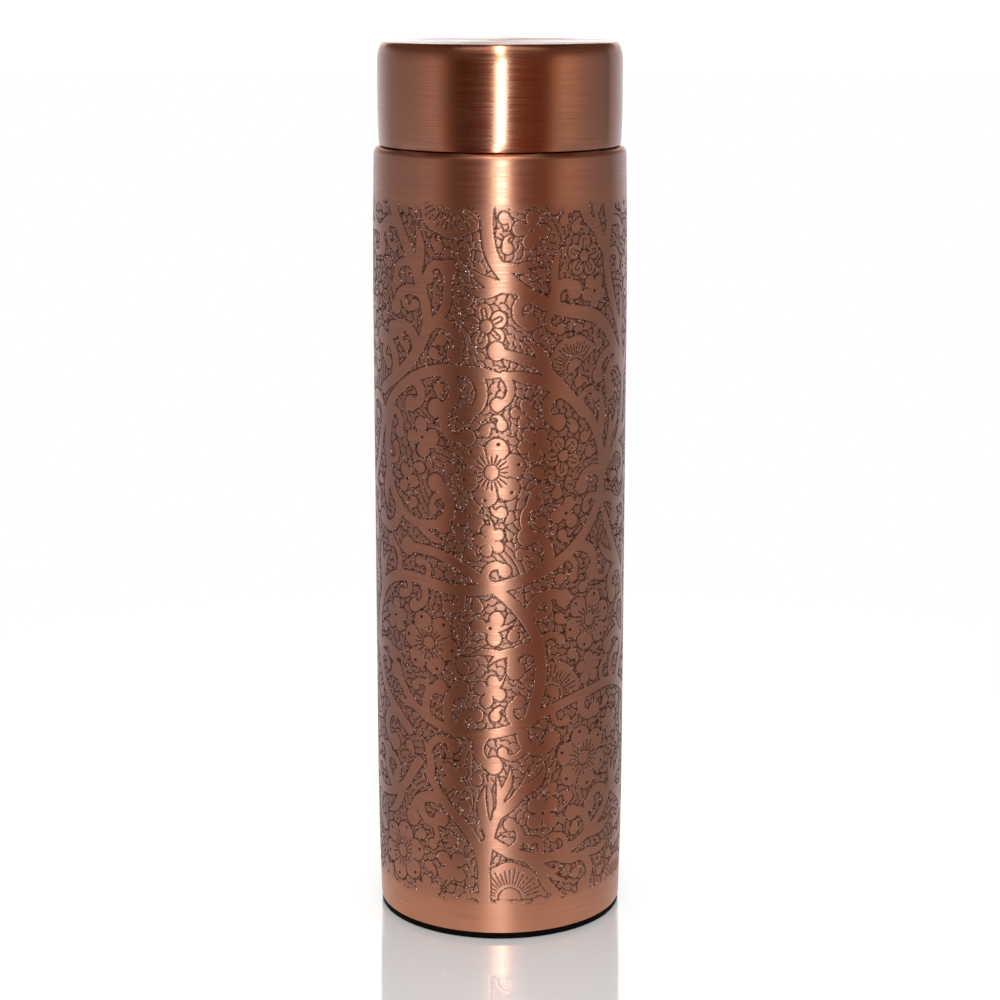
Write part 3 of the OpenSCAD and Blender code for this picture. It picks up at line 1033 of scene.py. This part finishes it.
for node, material in {
    "body_wall": ENGRAVED_COPPER, "base_pan": BARE_COPPER, "base_braze": BRAZE,
    "shoulder_plate": BARE_COPPER, "shoulder_braze": BRAZE, "neck_braze": BRAZE,
    "cap_inner_disc": BARE_COPPER, "cap_bottom_ring": BARE_COPPER, "cap_braze": BRAZE,
}.items():
    dress(frame["nodes"][node], material)

# ---- studio

FLOOR_R, GLOW_R = 6.0, 0.075
FLOOR_MIRROR = 0.4  # share of the floor's light that is a mirror image
SWEEP_FROM, SWEEP_TO = 0.06, 0.4  # from the axis, where the floor turns into the sweep
DISC_SIDES = 96


def stage_plane(name, radius, z, material):
    """A flat disc round the bottle's axis that belongs to the studio."""
    mesh = bpy.data.meshes.new(name)
    points = [(radius * math.cos(a), radius * math.sin(a), z) for a in circle(DISC_SIDES)]
    mesh.from_pydata(points, [], [list(range(DISC_SIDES))])
    piece = linked(name, mesh)
    piece.visible_shadow = False
    mesh.materials.append(material)
    return piece


def floor_material():
    """Satin white near the bottle, fading into a plain white sweep further out."""
    material, shader, nodes = new_material("floor")
    nodes.fill(shader, {"Base Color": (0.93, 0.93, 0.93), "Metallic": FLOOR_MIRROR,
                        "Roughness": 0.045})
    away = nodes.out("VectorMath", "Value", {0: nodes.place()}, operation="LENGTH")
    share = nodes.spread(away, SWEEP_FROM, SWEEP_TO, fade="SMOOTHSTEP")
    output = nodes.tree.nodes["Material Output"].inputs["Surface"]
    satin = output.links[0].from_socket
    sweep = nodes.out("Emission", 0, {"Color": (1, 1, 1)})
    nodes.put(output, nodes.out("MixShader", 0, {0: share, 1: satin, 2: sweep}))
    return material


def glow_material(strength):
    """Lights the wall's foot from below, as the white table does."""
    material, shader, nodes = new_material("near_floor")
    nodes.fill(shader, {"Base Color": (0, 0, 0), "Emission Color": (1, 0.97, 0.96),
                        "Emission Strength": strength})
    return material


floor = stage_plane("floor", FLOOR_R, -0.02 * MM, floor_material())
floor.visible_glossy = False
near_floor = stage_plane("near_floor", GLOW_R, -0.05 * MM, glow_material(0.68))
near_floor.location.y = -0.012
near_floor.visible_camera = False
near_floor.visible_diffuse = False

WHITE = (1.0, 0.98, 0.96)
COOL = (0.75, 1.0, 1.15)
PALE_BLUE = (0.88, 1.0, 1.07)
SURROUND = (  # degrees from beside the camera, and the colour there
    (-180, (0.88, 0.86, 0.86)),
    (-168, (0.72, 0.76, 0.80)),
    (-150, (0.68, 0.82, 0.98)),
    (-128, (0.32, 0.36, 0.44)),
    (-106, (0.27, 0.27, 0.31)),
    (-80, (0.33, 0.31, 0.33)),
    (-62, (0.68, 0.58, 0.56)),
    (-50, (0.16, 0.07, 0.035)),
    (-36, (0.055, 0.014, 0.004)),
    (-20, (0.09, 0.025, 0.008)),
    (0, (0.3, 0.12, 0.06)),
    (20, (0.19, 0.058, 0.021)),
    (36, (0.14, 0.038, 0.012)),
    (48, (0.18, 0.08, 0.035)),
    (60, (0.86, 0.70, 0.58)),
    (80, (0.40, 0.36, 0.36)),
    (106, (0.24, 0.23, 0.26)),
    (117, (0.26, 0.26, 0.30)),
    (121, (0.10, 0.08, 0.08)),
    (125, (0.30, 0.33, 0.38)),
    (150, (0.66, 0.82, 0.98)),
    (168, (0.72, 0.76, 0.80)),
    (180, (0.88, 0.86, 0.86)),
)
# What lies over the surround, one colour over the last. Each of its bounds is a direction,
# and how far that way the colour starts and is full. ahead is towards the camera.
CEILING = ((0.13, 0.075, 0.055), ("up", 0.12, 0.32))
LEFT_FILL = ((0.50, 0.49, 0.55), ("up", -0.08, -0.19), ("right", -0.78, -0.93))
RIGHT_FILL = ((0.38, 0.38, 0.42), ("up", -0.08, -0.19), ("right", 0.7, 0.86))
ZENITH = ((0.04, 0.015, 0.01), ("up", 0.7, 0.85))
OVERHEAD = ((1.0, 0.95, 0.9), ("up", 0.55, 0.75), ("ahead", 0.38, 0.56))
BEHIND = ((1.1, 1.1, 1.1), ("up", 0.1, 0.2), ("up", 0.6, 0.45), ("ahead", -0.8, -0.88))
BACK_LIGHT = ((1.25, 1.42, 1.5), ("up", -0.06, 0.03), ("up", 0.3, 0.15), ("ahead", -0.93, -0.98))
ROOM_LIGHT = (1.15, 1.15, 1.15)  # what the camera and rough surfaces see


def studio_world():
    """White to the camera and on the floor; to the copper, a surround that runs from dark
    beside the camera to pale at the sides and white behind."""
    world = bpy.data.worlds.new("studio")
    bpy.context.scene.world = world
    world.use_nodes = True
    nodes = Nodes(world.node_tree)
    nodes.tree.nodes.clear()
    split = nodes.tree.nodes.new("ShaderNodeSeparateXYZ")
    nodes.put(split.inputs[0], nodes.out("TexCoord", "Generated"))
    right, away, up = split.outputs
    ahead = nodes.maths("MULTIPLY", away, -1.0)
    turn = nodes.spread(nodes.maths("ARCTAN2", right, ahead), -math.pi, math.pi)
    ramp = nodes.tree.nodes.new("ShaderNodeValToRGB")
    ramp.color_ramp.interpolation = "B_SPLINE"
    nodes.put(ramp.inputs[0], turn)
    elements = ramp.color_ramp.elements
    for k, (degrees, colour) in enumerate(SURROUND):
        place = (degrees + 180) / 360
        element = elements[k] if k < 2 else elements.new(place)
        element.position = place
        element.color = (*colour, 1)
    dome = ramp.outputs[0]
    ways = {"up": up, "right": right, "ahead": ahead}
    for colour, *bounds in (CEILING, LEFT_FILL, RIGHT_FILL, ZENITH, OVERHEAD, BEHIND, BACK_LIGHT):
        share = 1.0
        for way, start, full in bounds:
            inside = nodes.spread(ways[way], start, full, fade="SMOOTHSTEP")
            share = nodes.maths("MULTIPLY", inside, share)
        dome = nodes.blend(share, dome, colour)
    seen = nodes.blend(nodes.out("LightPath", "Is Glossy Ray"), ROOM_LIGHT, dome)
    output = nodes.tree.nodes.new("ShaderNodeOutputWorld").inputs["Surface"]
    nodes.put(output, nodes.out("Background", 0, {"Color": seen}))


studio_world()


def area_light(name, azimuth, distance, height, width, tall, power, colour=WHITE, tilt=0,
               lean=0):
    """A soft box facing the bottle. Azimuth 0 is beside the camera, 90 is to the right.

    tilt turns it to face downwards, and lean moves its top to the right.
    """
    lamp = bpy.data.lights.new(name, "AREA")
    lamp.shape = "RECTANGLE"
    lamp.size, lamp.size_y = width, tall
    lamp.energy = power
    lamp.color = colour
    box = linked(name, lamp)
    angle = math.radians(azimuth)
    box.location = (distance * math.sin(angle), -distance * math.cos(angle), height)
    box.rotation_euler = (math.radians(90 - tilt), math.radians(lean), angle)
    box.visible_camera = False


area_light("key_strip", -2, 1.3, -0.14, 0.15, 1.02, 2.28, PALE_BLUE, lean=5)
area_light("key_low", -3.5, 1.29, -0.3, 0.07, 0.7, 0.9, COOL, lean=5)
area_light("key_core", 2.4, 1.28, 0.2, 0.08, 0.32, 2.05, COOL, lean=12)
area_light("key_middle", 1.2, 1.3, 0.62, 0.1, 0.5, 0.5)
area_light("key_upper", 0, 1.3, 1.16, 0.13, 0.58, 3.4)
area_light("key_top", 0, 0.72, 1.36, 0.13, 0.9, 3.5, tilt=57)

CAMERA_DISTANCE = 0.72
CAMERA_HEIGHT = 0.2835
CAMERA_PITCH = 12.35
CAMERA_LENS = 88
camera = linked("camera", bpy.data.cameras.new("camera"))
camera.data.lens = CAMERA_LENS
camera.location = (0, -CAMERA_DISTANCE, CAMERA_HEIGHT)
camera.rotation_euler = (math.radians(90 - CAMERA_PITCH), 0, 0)
bpy.context.scene.camera = camera
bpy.context.scene.view_settings.view_transform = "Standard"
